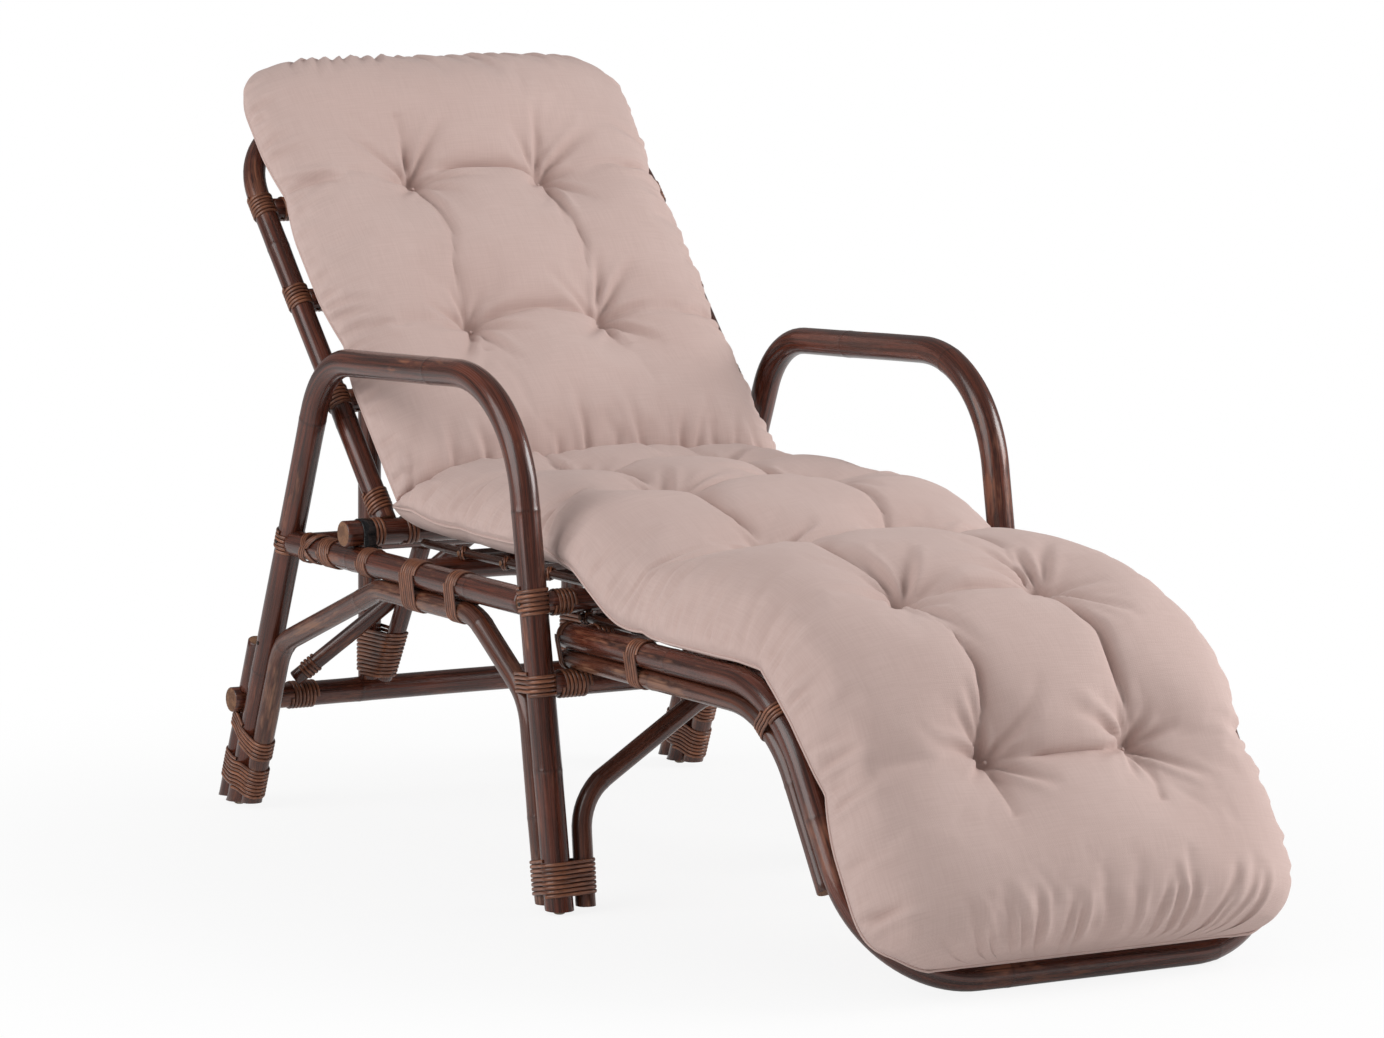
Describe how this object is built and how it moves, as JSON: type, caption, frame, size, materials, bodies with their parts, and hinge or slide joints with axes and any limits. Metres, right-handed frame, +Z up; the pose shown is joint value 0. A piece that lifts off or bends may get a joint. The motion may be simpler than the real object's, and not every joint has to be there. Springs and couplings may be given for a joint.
{
  "type": "sun lounger",
  "caption": "Rattan sun lounger: bent pole arms and legs, hinged back, sliding bent footrest, cane lashings and a tufted pad.",
  "frame": {"origin": "On the floor under the middle of the lounger's bounding box.", "axes": "+Z up; +Y towards the head end, -Y towards the foot end; +X is the sitter's left."},
  "size_m": [0.66, 1.5438, 0.8992],
  "materials": {
    "rattan": "stained and lacquered rattan pole, glossy dark reddish brown",
    "cane": "flat cane strip, warm brown, satin",
    "canvas": "plain woven cotton canvas, dusty rose beige, matt",
    "strap": "glossy black moulded strap",
    "glide": "pale beige plastic glide"
  },
  "bodies": {
    "base": {"arm_pole_left": "rattan", "arm_pole_right": "rattan", "back_post_left": "rattan", "back_post_right": "rattan", "back_rest_bar": "rattan", "foot_lashing_front_left": "cane", "foot_lashing_front_right": "cane", "foot_lashing_rear_left": "cane", "foot_lashing_rear_right": "cane", "front_arch": "rattan", "front_stretcher": "rattan", "glide_front_left": "glide", "glide_front_right": "glide", "glide_rear_left": "glide", "glide_rear_right": "glide", "hinge_strap_left": "strap", "hinge_strap_right": "strap", "knee_brace_left": "rattan", "knee_brace_right": "rattan", "leg_lashing_left": "cane", "leg_lashing_right": "cane", "post_lashing_left": "cane", "post_lashing_right": "cane", "rail_lashing_left": "cane", "rail_lashing_right": "cane", "rear_brace_left": "rattan", "rear_brace_right": "rattan", "rear_leg_pole_left": "rattan", "rear_leg_pole_right": "rattan", "rear_leg_stub_left": "rattan", "rear_leg_stub_right": "rattan", "rear_stretcher": "rattan", "seat_cushion": "canvas", "seat_front_crossbar": "rattan", "seat_mid_crossbar": "rattan", "seat_rail_left": "rattan", "seat_rail_right": "rattan", "seat_rear_crossbar": "rattan", "seat_slats": "rattan", "side_arch_left": "rattan", "side_arch_right": "rattan"},
    "back": {"back_crossbar_lower": "rattan", "back_crossbar_middle": "rattan", "back_crossbar_upper": "rattan", "back_cushion": "canvas", "back_frame": "rattan", "back_lashing_left": "cane", "back_lashing_right": "cane", "back_slats": "rattan", "hinge_pole": "rattan"},
    "footrest": {"footrest_crossbar_knee": "rattan", "footrest_crossbar_rear": "rattan", "footrest_frame": "rattan", "footrest_lashing_left": "cane", "footrest_lashing_right": "cane", "footrest_lower_pole_left": "rattan", "footrest_lower_pole_right": "rattan", "footrest_slats": "rattan", "leg_cushion": "canvas"}
  },
  "joints": [
    {"name": "recline", "type": "hinge", "parent": "base", "child": "back", "pos_m": [0, 0.3432, 0.3653], "axis": [1, 0, 0], "range_deg": [0, 40], "deforming": ["back_cushion"]},
    {"name": "footrest_slide", "type": "slide", "parent": "base", "child": "footrest", "axis": [0, 1, 0], "range_m": [0, 0.118], "deforming": ["leg_cushion"]}
  ]
}
